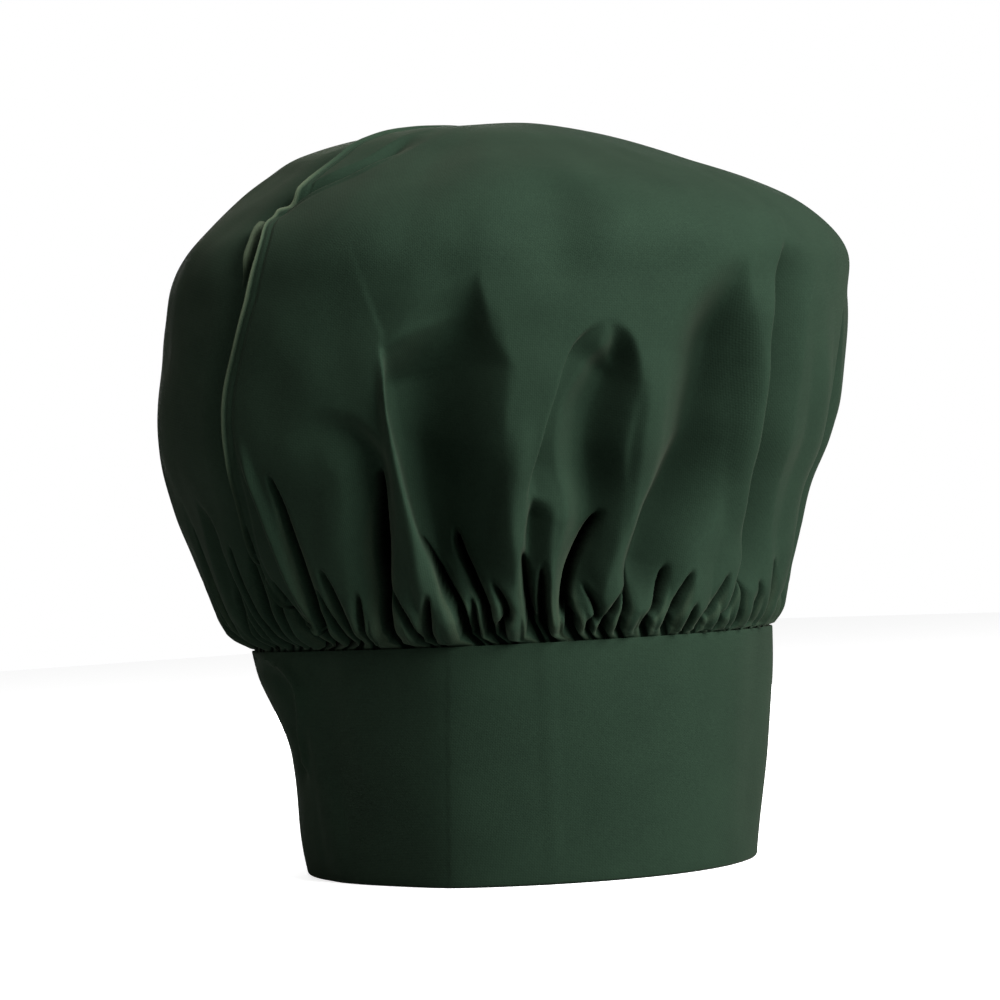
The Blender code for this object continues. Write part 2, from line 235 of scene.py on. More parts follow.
FRONT_FOLDS = (
    # the first arch: a gap that curves over a hump and runs down beside the pillar
    fold(((194, 164), (200, 170.5), (205, 168), (208, 160), (208.2, 147), (207.1, 132),
        (205.5, 118), (204, 103), (203.1, 94.5)), -7, (18, 13), (10, 4), 1.6, 1.8, rise=46),
    fold(((201.5, 156), (199, 137), (196.5, 116)), 1.2, 10, 9),
    # the soft ridge beside the closure's side seam
    fold(((183.7, 172), (184.8, 161), (185.6, 149), (186.4, 134), (187, 119), (187.4, 108),
        (187.7, 96)), 3, 3.5, 3.5, 1.6, 1.8),
    # the pillar, and the steep drop at its side into the middle valley
    fold(((212, 198), (212.6, 186), (213, 165), (213, 146), (213.2, 131), (213, 117), (212, 102)),
        5, (6, 10), (3, 6), 1.8, 1.6),
    fold(((211.6, 201), (213, 190), (213.6, 174.5), (214.2, 160), (214.8, 146), (215.9, 131),
        (217.4, 116.5), (218, 101.7)), -15, (2.6, 3.6), (44, 23), 2, 1.25, rise=16, under=0.55),
    # the middle valley's head, under its peak
    fold(((226.2, 224), (224.2, 214), (222.1, 202), (220.6, 188), (219.2, 173.5), (218.2, 159.5),
        (218.4, 140), (219, 118), (220, 100)), -8, (30, 1), (26, 24), 2, 1.6, 0.25, 1, 22),
    # the light column
    fold(((232, 172), (231.3, 158), (230.3, 144), (229.5, 130), (228.8, 111.6)), 3, 7, 7),
    # the second arch: its gap, the crisp edge that hangs over it, and the pleat under it
    fold(((246.5, 203.5), (248, 195.5), (247.5, 185), (245.3, 171), (244.4, 157), (245.1, 142.5),
        (243.9, 128), (241.7, 114), (239.6, 94.5)), -12, (15, 10), (11, 10), 1.8, 1.4, 0.3, 0.5,
        16),
    fold(((245.4, 204.5), (242.4, 198.5), (240.2, 189), (238.8, 179), (237.4, 170),
        (235.7, 157.5), (233.8, 145.5), (232.7, 136.5)), -6.5, 2.6, (24, 34), 2, 1.4, 0.2, 0.7,
        16, under=0.4),
    fold(((234, 142), (232.6, 131), (232.1, 115)), -8, 1.6, 8.5, 1.6, 1.3, rise=8, open_end=True),
    # the ridge between the second arch and the broad valley
    fold(((252.4, 193.5), (252.4, 177), (251.8, 161), (251.9, 143.6), (251.2, 127.4),
        (248.7, 115)), 3, 5, 12),
    # the broad soft valley
    fold(((272, 228), (270, 214), (268.4, 200), (267.2, 185), (265.6, 170), (264.4, 156),
        (261.6, 141.5), (257, 129), (254.2, 116.5), (252.4, 100)), -16, (40, 9), (15, 25), 1.7,
        2.1, 0.3, 0.6, 34),
    # a shallow dip in the dome
    fold(((244, 262), (238.5, 246), (236.5, 228), (238, 212)), -3, 24, 26, 2, 2),
    # the far ridge, and the steep drop to the valley behind it
    fold(((279, 225), (276, 205), (275, 185), (274.6, 170), (275, 155), (275.8, 140),
        (276.2, 120)), 3.8, 9, 4, 1.8, 1.7),
    fold(((282.7, 236), (279.6, 217.5), (278.2, 199), (278, 184), (277.7, 169.5), (278.2, 155),
        (278.9, 140), (279.5, 125.5), (280, 104)), -14, 3.2, (22, 18), 1.5, 1.5, rise=26,
        under=0.3),
    fold(((294, 205), (296, 175), (297, 140), (296, 100)), 3, 12, 14),
    fold(((306, 215), (307.5, 180), (307, 140), (305, 98)), -5.5, 13, 14, 2, 1.8, 0.35, 0.6),
    fold(((325, 190), (327, 160), (326, 125), (323, 98)), -5, 14, 16, 2, 1.8, 0.35, 0.6),
    fold(((345, 200), (344, 165), (346, 130), (345, 98)), -4.5, 15, 13, 2, 1.8, 0.35, 0.6),
)
BACK_FOLDS = tuple(fold(*row, 2, 1.9, 0.35, 0.6) for row in (
    (((12, 205), (14, 170), (13, 135), (15, 100)), -4.5, 14, 12),
    (((31, 225), (30, 190), (33, 150), (31, 102)), -7, 15, 13),
    (((40, 200), (41, 165), (43, 125)), 3.2, 11, 11),
    (((53, 215), (52, 180), (49, 140), (51, 102)), -6, 14, 16),
    (((73, 230), (74, 190), (77, 150), (78, 104)), -7.5, 17, 13),
    (((85, 205), (86, 170), (86, 130)), 3, 11, 11),
    (((98, 220), (97, 185), (99, 150), (97, 104)), -6.5, 14, 15),
    (((118, 228), (119, 190), (116, 150), (117, 104)), -7, 16, 13),
    (((128, 200), (129, 165), (128, 125)), 2.6, 11, 11),
    (((140, 200), (141, 160), (139, 120), (140, 100)), -4.5, 13, 14),
    # the dark arched gap low beside the closure's side seam
    (((166, 150), (168.5, 138), (168, 120), (167, 102)), -5, 9, 6),
    (((156, 150), (157, 125), (157, 102)), -2.2, 9, 9),
))
# The gathers on the front: their gaps, as lines down to the headband
FRONT_TUCKS = tuple(tuck(*row) for row in (
    # depth, half width, angle at its foot, then its line from the top
    (4.5, 1.6, 153.5, (152.5, 112)),
    (5, 1.7, 158.6, (159, 128), (159.2, 112)),
    (5, 1.3, 167.2, (168.4, 127), (167.4, 110)),
    (5, 1.3, 173.6, (173.6, 125), (173, 108)),
    (5, 1.3, 180.4, (180.3, 131), (179.6, 113)),
    (5, 1.3, 192.3, (192, 108)),
    (6, 2.6, 188.8, (189, 151), (189.5, 138.5), (190, 117.5)),
    (5, 1.8, 176.6, (177.4, 120), (176.2, 103.1)),
    (4, 1.8, 163.8, (166.1, 108)),
    (4, 1.5, 170, (170.5, 118)),
    (5.5, 2, 184.9, (183.2, 110)),
    (5.5, 2, 195.1, (194.6, 113)),
    (5.5, 1.7, 198, (199.2, 106)),
    (8, 3.6, 203.5, (207.4, 146), (205.7, 127.9), (204.5, 110.3)),
    (5.5, 1.6, 209, (207.2, 107)),
    (6, 1.9, 211.8, (213.2, 105)),
    (8, 2.6, 219.2, (216.6, 120), (218.9, 102.3)),
    (5, 1.4, 221.4, (221.6, 103)),
    (8, 2.2, 224.2, (222.7, 122), (223.7, 106.6)),
    (6, 1.7, 226.6, (226.8, 109), (227.8, 100.3)),
    (7.5, 1.9, 232.3, (231.5, 119), (231.9, 106)),
    (7, 2.3, 234.9, (235, 114), (234.8, 105.1)),
    (8.5, 3, 240.2, (245.3, 129), (241.2, 115.2), (239.4, 102)),
    (5.5, 1.3, 243.8, (243.6, 107), (245.2, 99)),
    (7, 1.9, 246.8, (249.4, 104)),
    (7, 1.8, 250.2, (252.2, 114), (251, 101)),
    (7.5, 2.3, 255.8, (260, 111), (257.9, 101)),
    (7.5, 2.2, 261, (264.2, 109), (262, 100)),
    (5.5, 1.9, 265.6, (265.8, 99)),
    (7.5, 2, 269.2, (273.3, 107), (271, 98)),
    (6.5, 1.7, 274.6, (279.2, 117), (276.4, 100)),
    (6, 1.8, 281, (280, 107)),
    (6.5, 1.9, 286.6, (286.2, 104)),
))
# The tucked corners at the ends of the top edge
CORNER_FOLDS = (
    fold(((184.5, 255.5), (190, 260.5), (195.6, 265), (201.3, 270.5), (207, 279)), 2, 2.6, 7, 1.6,
        1.6, rise=6),
    fold(((184.5, 258), (189.5, 264), (195, 269), (200.5, 275.5), (206, 284)), -4.2, 9, 4, 1.6,
        1.4, rise=8),
    fold(((356, 257), (350, 262.5), (341, 267.5), (332, 276)), -2.4, 8, 9, 2, 1.7, 0.3),
)
# Where each side seam runs: height, angle away from the middle of that side
LEFT_SEAM = (
    (0.090, 8.5), (0.096, 7.5), (0.104, 3.6), (0.120, -0.2), (0.143, 0.2), (0.161, 0.8),
    (0.176, 0.6), (0.193, 1.8), (0.209, 4.6), (0.223, 6.7), (0.243, 7.6), (0.257, 5.4),
    (0.267, 7.0), (0.280, 8.0), (0.292, 6.0), (0.2965, 0.0),
)
RIGHT_SEAM = (
    (0.090, -5.0), (0.104, -3.0), (0.130, 0.5), (0.170, 1.0), (0.205, -2.5), (0.235, -5.0),
    (0.257, -4.0), (0.275, -5.0), (0.290, -3.5), (0.2965, 0.0),
)
SEAM_PULL = 26  # degrees over which the cloth follows a wandering seam
SEAM_METRES = 2.35e-3  # round the crown, for each degree
SEAMS = ((180.0, 1), (0.0, -1))  # the seam's angle, and the way to the front panel
GAP_DARK = 0.005  # the depth at which a tight gap's painted shade is darkest
VALLEY_DARK = 0.016  # the same for a broad fold's painted shade


def column_angles():
    """The columns' angles, closer together at the two side seams. The back's middle comes
    twice: once for each side of the slit."""
    fine = np.linspace(0, 90, 2000)
    share = np.cumsum(1 + 1.2 * np.exp(-((fine / 5) ** 2)))
    share = (share - share[0]) / (share[-1] - share[0])
    quarter = np.interp(np.linspace(0, 1, COLUMNS // 4 + 1), share, fine)
    to_back = 180 - quarter[::-1]
    to_front = 180 + quarter
    to_start = 360 - quarter[::-1]
    return np.concatenate([quarter, to_back, to_front[1:], to_start[1:-1]])


def side_tucks():
    """The gathers round the rest of the crown, spaced and leaning as unevenly."""
    rng = np.random.default_rng(8)
    made = []
    angle = 292.0
    while angle < 360 + 161:
        high = rng.uniform(100, 112) if rng.random() < 0.6 else rng.uniform(112, 134)
        lean = rng.uniform(-2.2, 2.2)
        bend = rng.uniform(-0.8, 0.8)
        if abs(apart(angle, BACK)) > 2.5:
            halfway = (angle + 0.5 * lean + bend, 0.5 * (high + TUCK_FOOT))
            depth, half = rng.uniform(5.0, 8.0), rng.uniform(1.4, 2.7)
            made.append(tuck(depth, half, angle, (angle + lean, high), halfway))
        angle += rng.uniform(3.4, 7.4)
    return made


def back_lean(angle):
    """How far the upper edge is nearer the middle at the back, which stands upright."""
    return BACK_UPRIGHT * fade(0, UPRIGHT_SPREAD, abs(apart(angle, BACK)))


def outline(angle, height):
    """The crown's smooth radius."""
    # squared radii run smoothly over the pole
    closure_end, other_end = (
        np.sqrt(np.maximum(spline([(row[0], row[end] ** 2) for row in OUTLINE], height), 0))
        for end in (1, 2)
    )
    share = 0.5 + 0.5 * np.sin(np.radians(angle - FACING))
    above = height - BAND_HEIGHT
    oval = 0.0015 - (HEAD_OVAL + 0.0015) * fade(0, 0.05, above)
    radius = closure_end * (1 - share) + other_end * share
    radius += oval * np.cos(2 * np.radians(angle)) * ease(0.0, 0.05, radius)
    return radius - back_lean(angle) * fade(0, 0.05, above)


def crown_base(angle, height):
    points = outline(angle, height)[..., None] * outwards(angle)
    points[..., 2] = height
    return points


def grid_heights(rows):
    """Heights of the crown's rows, evenly spaced along its outline, closer at the foot."""
    fine = np.linspace(0, 1, 4000)
    foot = BAND_HEIGHT + 0.0009
    height = foot + (CROWN_TOP - foot) * np.sin(fine * pi / 2)
    radius = outline(np.full(fine.shape, 270.0), height)
    along = arc_lengths(np.stack([radius, height], -1))
    even = np.linspace(0, 1, rows)
    wanted = along[-1] * (0.82 * even + 0.18 * even**2)
    return np.interp(wanted, along, height)


def surface_normals(points):
    """Outward normals of a (rows, columns, 3) grid that closes on itself along a row."""
    across = np.roll(points, -1, axis=1) - np.roll(points, 1, axis=1)
    up = np.gradient(points, axis=0)
    normal = unit(np.cross(across, up))
    normal[-1] = (0, 0, 1)
    return normal


def fold_line(path, per_span=6):
    """Points along a fold, smoothed, on the crown's base surface."""
    ends = [path[0], *path, path[-1]]
    line = []
    for before, a, b, after in zip(ends, ends[1:], ends[2:], ends[3:]):
        for s in range(per_span):
            t = s / per_span
            line.append([
                0.5 * (2 * q + (r - p) * t + (2 * p - 5 * q + 4 * r - w) * t**2
                       + (3 * q - p - 3 * r + w) * t**3)
                for p, q, r, w in zip(before, a, b, after)
            ])
    line = np.array([*line, path[-1]], float)
    return crown_base(line[:, 0], line[:, 1])


def fold_field(points, normals, fold_):
    """How far a fold moves each point along its normal, in metres."""
    path, push, reach_low, reach_high, crest, edge, point, taper, rise, open_end, _ = fold_
    line = fold_line(path)
    reach = 1e-3 * max(*reach_low, *reach_high)
    middle = line.mean(0)
    near = norm(points - middle, axis=-1) < reach + norm(line - middle, axis=-1).max()
    p, n = points[near], normals[near]
    best = np.full(len(p), np.inf)
    signed, along = np.zeros(len(p)), np.zeros(len(p))
    starts = arc_lengths(line)
    for a, b, start in zip(line, line[1:], starts):
        length = norm(b - a)
        way = (b - a) / length
        t = np.clip((p - a) @ way, 0, length)
        gap = p - (a + t[:, None] * way)
        distance = norm(gap, axis=1)
        side = np.einsum("ij,ij->i", np.cross(n, way), gap)
        closer = distance < best
        best = np.where(closer, distance, best)
        signed = np.where(closer, np.sign(side) * distance, signed)
        along = np.where(closer, start + t, along)
    total = starts[-1]
    share = along / total
    low = reach_low[0] + (reach_low[1] - reach_low[0]) * share
    high = reach_high[0] + (reach_high[1] - reach_high[0]) * share
    side_reach = 1e-3 * np.where(signed < 0, low, high)
    if point:
        side_reach = side_reach * np.clip(0.03 + along / (point * total), 0.03, 1) ** taper
    across = np.clip(1 - abs(signed / side_reach) ** crest, 0, 1) ** edge
    ends = ease(-0.002, min(1e-3 * rise, total / 2), along)
    if not open_end:
        ends = ends * fade(total - min(0.02, total / 2), total + 0.004, along)
    field = np.zeros(points.shape[:-1])
    field[near] = 1e-3 * push * across * ends
    return field


def seam_shift(angle, height):
    return sum(
        spline(seam, height) * fade(0, SEAM_PULL, abs(apart(angle, middle)))
        for seam, middle in ((LEFT_SEAM, 180), (RIGHT_SEAM, 0))
    )


def seam_rim(off):
    """The sewn edge's thin rim, from the distance to the seam in metres."""
    return bell(off - 0.0004, 0.00048)


def seam_pocket(off, height):
    """Where the pocket gapes, and the shares of its gap and of its free edge."""
    gape = ease(0.226, 0.240, height) * fade(0.2525, 0.2575, height)
    return gape, bell(off + 0.0028, 0.0020), bell(off + 0.0062, 0.0007)


def seam_field(angle, height):
    """The sewn edge: the front panel stands over it and the back panel sits behind it.
    Each end of the top edge is tucked, with a little pocket that gapes below the tuck."""
    total = np.zeros(angle.shape)
    at_pole = ease(0.0, 0.03, outline(angle, height))
    for middle, front in SEAMS:
        off = front * apart(angle, middle) * SEAM_METRES  # positive on the front panel
        # behind the seam the cloth drops at once, and comes back slowly
        slow = 0.015 + 0.040 * ease(0.21, 0.26, height)
        recess = np.where(off < -0.0003, np.clip(1 + off / slow, 0, 1) ** 1.7, 0.0)
        rim = seam_rim(off)
        allowance = bell(off - 0.0045, 0.0011)
        depth = 0.0036 + 0.0026 * ease(0.20, 0.255, height)
        depth = depth * (1 - 0.5 * ease(0.268, 0.29, height))
        depth = depth * ease(0.094, 0.110, height)
        total += at_pole * (-depth * recess + 0.0015 * rim - 0.0004 * allowance)
        # the pocket: a deep narrow gap, and the back panel's free fold beside it
        gape, gap, lip = seam_pocket(off, height)
        total += gape * (-0.0070 * gap + 0.0052 * lip)
        total -= 0.0030 * bell(height - 0.2575, 0.005) * bell(off, 0.009)
    return total


def gather_field(angle, height):
    """Fine irregular tucks at the foot of the crown: rounded folds with tight gaps."""
    above = (height - BAND_HEIGHT) * 1e3
    lean = 1.6 * value_noise(angle / 9.0, above / 16.0, 11, wrap=40)
    lean += 0.5 * value_noise(angle / 3.0, above / 6.0, 12, wrap=120)
    place = (angle + lean * ease(0, 14, above)) % 360.0
    total = np.zeros(angle.shape)
    layers = (
        # number of tucks, depth in mm, seed, where it fades out above the band in mm
        (104, 2.6, 21, 13.0),
        (46, 2.4, 22, 34.0),
    )
    for count, depth, seed, until in layers:
        rng = np.random.default_rng(seed)
        cuts = np.cumsum(rng.uniform(0.55, 1.45, count))
        cuts = np.concatenate([[0], cuts]) * 360.0 / cuts[-1]
        sizes = rng.uniform(0.45, 1.25, count)
        reach = rng.uniform(0.6, 1.5, count)
        which = np.clip(np.searchsorted(cuts, place, side="right") - 1, 0, count - 1)
        t = (place - cuts[which]) / (cuts[which + 1] - cuts[which])
        after = (which + 1) % count
        before = (which - 1) % count
        # depth of the gap at each side, so that neighbours agree on their shared gap
        nearer = np.where(t < 0.5, before, after)
        gap = (sizes[which] + sizes[nearer]) / 2
        far = (reach[which] + reach[nearer]) / 2
        valley = abs(2 * t - 1) ** 2.6
        up = fade(0.15, 1.0, above / (until * far))
        total -= 1e-3 * depth * gap * valley * up
    return total


def softened(field):
    """The field averaged a little with its neighbours, so that a slanting fold has no steps."""
    for _ in range(2):
        across = 0.25 * (np.roll(field, 1, axis=1) + np.roll(field, -1, axis=1)) + 0.5 * field
        padded = np.concatenate([across[:1], across, across[-1:]])
        field = 0.25 * (padded[:-2] + padded[2:]) + 0.5 * padded[1:-1]
    return field


def crown_painted_shading(plain, shifted, height, broad, narrow, lips):
    """Painted light and shade for each point: painted shade down in the broad folds and the
    tucks' gaps, and painted highlights on the cloth beside the gaps and on the seams' rims."""
    # painted shade in the broad valleys, stronger between about 250 and 315 degrees, and darkest
    # in the tight gaps
    dark = 0.15 + 0.5 * ease(238, 262, shifted) * fade(300, 330, shifted)
    deep = np.clip(-broad / VALLEY_DARK, 0, 1)
    painted_shading = np.maximum(softened(narrow) / GAP_DARK, -1.0) - deep * dark
    # painted highlight on the tucks' lips, beside their gaps
    painted_shading += 0.16 * np.clip(-lips / 0.0016, 0, 1) * np.clip(1 + narrow / 0.0015, 0, 1)
    # painted highlight along the seams' rims and the pocket's free edge, painted shade in the
    # pocket's gap
    painted_highlight = ease(0.100, 0.25, height) * (1 - 0.9 * ease(0.262, 0.278, height))
    for middle, front in SEAMS:
        off = front * apart(plain, middle) * SEAM_METRES
        gape, gap, lip = seam_pocket(off, height)
        painted_shading += 0.8 * seam_rim(off) * painted_highlight + gape * (0.7 * lip - gap)
    return painted_shading


def crown_grid(rows):
    """The sculpted crown as a (rows, columns, 3) grid, from its edge inside the headband,
    and its painted light and shade: up to 1 for a painted highlight on the pressed rims,
    down to -1 for painted shade in the tight gaps."""
    plain = column_angles()
    columns = len(plain)
    height = np.repeat(grid_heights(rows)[:, None], columns, axis=1)
    plain = np.repeat(plain[None, :], rows, axis=0)
    shifted = plain + seam_shift(plain, height)
    points = crown_base(shifted, height)
    normals = surface_normals(points)
    push = np.zeros(height.shape)
    sideways = np.zeros(height.shape)
    for fold_ in FRONT_FOLDS + BACK_FOLDS + CORNER_FOLDS:
        field = fold_field(points, normals, fold_)
        push += field
        sideways += fold_[-1] * field
    narrow = np.zeros(height.shape)
    lips = np.zeros(height.shape)
    broad = push.copy()
    for gap, shoulder in FRONT_TUCKS + tuple(side_tucks()):
        narrow = np.minimum(narrow, fold_field(points, normals, gap))
        beside = fold_field(points, normals, shoulder)
        lips = np.minimum(lips, beside)
        push += beside
    push += narrow
    drape = value_noise(shifted / 12.0, height * 1e3 / 30.0, 5, wrap=30)
    drape += 0.5 * value_noise(shifted / 6.0, height * 1e3 / 16.0, 6, wrap=60)
    # over the top the noise runs across the cloth, as round the pole it would make spokes
    top = value_noise(points[..., 0] / 0.034, points[..., 1] / 0.034, 7)
    upright = ease(0.035, 0.105, outline(shifted, height))
    drape = upright * drape + 1.3 * (1 - upright) * top
    push += 0.0011 * drape * ease(0, 0.03, height - BAND_HEIGHT)
    push = softened(push) + seam_field(plain, height)
    at_foot = ease(-0.0012, 0.0020, height - BAND_HEIGHT)
    points = points + (push * at_foot)[..., None] * normals
    points = points + (softened(sideways) * at_foot)[..., None] * outwards(shifted + 90)
    out = points.copy()
    out[..., 2] = 0
    out = unit(out)
    gathers = gather_field(shifted, height) * at_foot
    lapped = np.arange(columns) <= SLIT_COLUMN
    lap = np.where(lapped, lap_offset(plain + 360), 0.0)
    lap = lap * fade(BAND_HEIGHT, SLIT_TOP, height)
    points += (gathers + lap)[..., None] * out
    points[-1] = points[-1].mean(0)
    # painted light and shade, for the cloth's colour
    painted_shading = crown_painted_shading(plain, shifted, height, broad, narrow, lips)
    # the edge that is sewn in between the headband's two walls
    along = plain[0] + np.where(lapped, 360.0, 0.0)
    inside = BAND_THICKNESS / 2
    foot = [strip_points(along, inside, BAND_HEIGHT + z + 0 * along) for z in CROWN_FOOT]
    painted_shading = np.concatenate([np.repeat(painted_shading[:1], len(foot), axis=0), painted_shading])
    return np.concatenate([np.array(foot), points]), painted_shading


# Meshes


def link(name, data):
    made = bpy.data.objects.new(name, data)
    bpy.context.scene.collection.objects.link(made)
    return made


def rework(mesh, work):
    bm = bmesh.new()
    bm.from_mesh(mesh)
    work(bm)
    bm.to_mesh(mesh)
    bm.free()


def mesh_object(name, points, faces, smooth=True):
    mesh = bpy.data.meshes.new(name)
    mesh.from_pydata([tuple(p) for p in points], [], faces)
    mesh.update()
    if smooth:
        mesh.shade_smooth()
    return link(name, mesh)


def panel_object(name, grid, painted_shading, first, last, slit=None):
    """The columns of the crown from first to last, up to the pole, as one panel. The
    columns slit and slit + 1 are the two sides of a slit, which are one above it."""
    rows, columns = grid.shape[:2]
    picked = [c % columns for c in range(first, last + 1)]
    part = grid[:-1][:, picked]
    width = len(picked)
    points = part.reshape(-1, 3).copy()

    def at(r, c):
        if slit is not None and c == slit + 1 and part[r, c, 2] > SLIT_TOP:
            c = slit
        return r * width + c

    faces = [
        (at(r, c), at(r, c + 1), at(r + 1, c + 1), at(r + 1, c))
        for r in range(rows - 2)
        for c in range(width - 1)
        if c != slit
    ]
    pole = len(points)
    top = rows - 2
    faces += [(at(top, c), at(top, c + 1), pole) for c in range(width - 1) if c != slit]
    points = np.concatenate([points, grid[-1, :1]])
    made = mesh_object(name, points, faces)
    # the painted light and shade, which the cloth's material reads
    painted_shading_layer = made.data.attributes.new("painted_shading", "FLOAT", "POINT")
    values = np.append(painted_shading[:-1][:, picked].ravel(), 0.0)
    painted_shading_layer.data.foreach_set("value", values.astype(np.float32))
    rework(made.data, lambda bm: bmesh.ops.delete(
        bm, geom=[v for v in bm.verts if not v.link_faces], context="VERTS"
    ))
    return made


def loft_faces(count, n, caps=1):
    """Quads between count rings of n points, and the two ends. The ends face the other
    way with caps of -1, and there are none with 0."""
    faces = [
        (c * n + i, c * n + (i + 1) % n, (c + 1) * n + (i + 1) % n, (c + 1) * n + i)
        for c in range(count - 1)
        for i in range(n)
    ]
    if caps:
        ends = range(n)[::-caps], range((count - 1) * n, count * n)[::caps]
        faces += [tuple(end) for end in ends]
    return faces


def thicken(obj, thickness, offset=-1.0):
    shell = obj.modifiers.new("cloth", "SOLIDIFY")
    shell.thickness = thickness
    shell.offset = offset
    shell.use_even_offset = False
    shell.use_rim = True


def apply_modifiers(obj):
    graph = bpy.context.evaluated_depsgraph_get()
    mesh = bpy.data.meshes.new_from_object(obj.evaluated_get(graph))
    obj.modifiers.clear()
    old, obj.data = obj.data, mesh
    bpy.data.meshes.remove(old)
    mesh.name = obj.name


# Headband

# Soft creases and dents of the stiffened band: an upright line at this angle, from one
# height to another, with how far it moves out and its reach to each side in degrees.
BAND_CREASES = (
    (172.0, 0.000, 0.040, 1.2, 8.0, 6.0),
    (176.0, 0.020, 0.084, -1.6, 9.0, 12.0),
    (146.0, 0.000, 0.022, 2.6, 34.0, 30.0),
    (233.0, 0.000, 0.090, 0.25, 3.0, 3.0),
    (296.0, 0.000, 0.088, -0.8, 12.0, 12.0),
    (322.0, 0.020, 0.088, 2.4, 30.0, 24.0),
    (20.0, 0.000, 0.088, -0.9, 14.0, 12.0),
    (48.0, 0.000, 0.088, 0.8, 12.0, 10.0),
)
# Upright bends where the stiffened band was folded flat: angle at the top and at the
# bottom, how far out, and the reach of the flat side on each side in degrees.
BAND_BENDS = (
    (212.5, 208.0, 4.5, 25.0, 34.0),
    (25.0, 30.0, 3.0, 30.0, 22.0),
)
# A small buckle at the closure's side: (angle, height) along its ridge
BUCKLE = (
    (152.0, 0.0895), (160.0, 0.0872), (166.0, 0.0825), (168.5, 0.0755), (167.2, 0.068),
    (163.5, 0.058), (162.0, 0.046),
)


def lap_offset(angle):
    return LAP_STEP * ease(*LAP_RISE, angle)


def buckle(angle, z):
    """1 on the buckle's ridge, falling to 0, with a hollow on its lower-angle side."""
    angle, z = np.broadcast_arrays(np.asarray(angle, float), np.asarray(z, float))
    place = np.stack([angle % 360 * MM_PER_DEGREE, z * 1e3], -1)

    def distance(shift):
        line = np.array([((a + shift) * MM_PER_DEGREE, h * 1e3) for a, h in BUCKLE])
        best = np.full(angle.shape, 1e9)
        for a, b in zip(line, line[1:]):
            way = b - a
            t = np.clip(((place - a) @ way) / (way @ way), 0, 1)
            gap = place - (a + t[..., None] * way)
            best = np.minimum(best, norm(gap, axis=-1))
        return best

    return bell(distance(0.0), 2.4) - 1.1 * bell(distance(-4.6), 6.0)


def band_shape(angle, z):
    """What the band's cloth does beyond its plain cone, in metres outwards."""
    calm = ease(100, 150, angle % 360) * fade(390, 425, angle)
    calm = np.where(angle % 360 < 75, fade(30, 65, angle % 360), calm)
    total = 0.0 * angle
    for middle, low, high, push, reach_low, reach_high in BAND_CREASES:
        off = apart(angle, middle)
        t = off / np.where(off < 0, reach_low, reach_high)
        up = ease(low - 0.02, low + 0.025, z) * fade(high - 0.02, high + 0.02, z)
        total = total + 1e-3 * push * np.clip(1 - t * t, 0, 1) ** 2 * up
    flare = ease(0.046, 0.092, z) * fade(8, 34, abs(apart(angle, 146)))
    total = total + 0.0105 * flare
    for top, bottom, push, reach_low, reach_high in BAND_BENDS:
        off = apart(angle, bottom + (top - bottom) * z / BAND_HEIGHT)
        t = (off * off + 14.0) ** 0.5 / np.where(off < 0, reach_low, reach_high)
        total = total + 1e-3 * push * np.clip(1 - t, 0, 1) ** 1.5
    total = total + 0.0026 * buckle(angle, z)
    wave = value_noise(angle / 15.0, z * 1e3 / 40.0, 31, wrap=24)
    total = total + 0.00045 * wave
    return total * calm


def strip_points(angle, depth, z):
    """Points of the headband strip, depth inwards from its outer face."""
    lower = BAND_BOTTOM_RADIUS
    radius = lower + (BAND_TOP_RADIUS - lower) * z / BAND_HEIGHT
    lean = back_lean(angle) * np.minimum(1.0, z / BAND_HEIGHT)
    radius = radius + lap_offset(angle) - depth - lean
    radius = radius + band_shape(angle, z)
    turn = np.radians(angle)
    across, along = (radius - HEAD_OVAL) * np.cos(turn), (radius + HEAD_OVAL) * np.sin(turn)
    return np.stack([across, along, z + 0 * turn], -1)


def strip_section(low, top):
    """(depth, z) round the band's cloth, folded along its lower edge: outer face, fold,
    lining, and back along the hidden side."""
    bend = BAND_THICKNESS / 2
    up = np.linspace(low + bend, top - 0.0006, 36)
    angles = range(15, 166, 15)

    def turn(radius, steps):
        return [
            (bend - radius * cos(radians(a)), low + bend - radius * sin(radians(a)))
            for a in steps
        ]

    outer = [(0.0, z) for z in up[::-1]] + turn(bend, angles)
    lining = [(BAND_THICKNESS, z) for z in up]
    lip_in = [
        (BAND_THICKNESS - 0.00015, top - 0.0001),
        (BAND_THICKNESS - 0.00045, top - 0.0001),
    ]
    hidden = [(BAND_THICKNESS - CLOTH, z) for z in up[::-1]]
    hidden += turn(bend - CLOTH, list(angles)[::-1])
    hidden += [(CLOTH, z) for z in up]
    lip_out = [(0.00045, top - 0.0001), (0.00015, top - 0.0001)]
    return outer + lining + lip_in + hidden + lip_out


def section_caps(n):
    """The quads that close the strip's end, between the shown and the hidden sides."""
    shown = (n - 4) // 2
    pairs = [(k, 2 * shown + 1 - k) for k in range(shown)]
    quads = [(a, b, e, d) for (a, b), (d, e) in zip(pairs, pairs[1:])]
    last = 2 * shown
    return quads + [(0, last + 3, last + 2, last + 1), (shown - 1, shown + 2, shown + 1, shown)]


def strip_edges(angle):
    """(low, top) of the strip. The tab is narrower, and its free end has round corners."""
    if angle <= TAB_ROOT:
        return 0.0, BAND_HEIGHT
    into = float(ease(TAB_ROOT, TAB_ROOT + 1.5, angle))
    corner = 0.005
    left = max(0.0, corner - (TAB_END - angle) * MM_PER_DEGREE * 1e-3)
    cut = corner - (max(0.0, corner**2 - left**2)) ** 0.5
    return TAB_LIFT * into + cut, BAND_HEIGHT - TAB_LIFT * into - cut


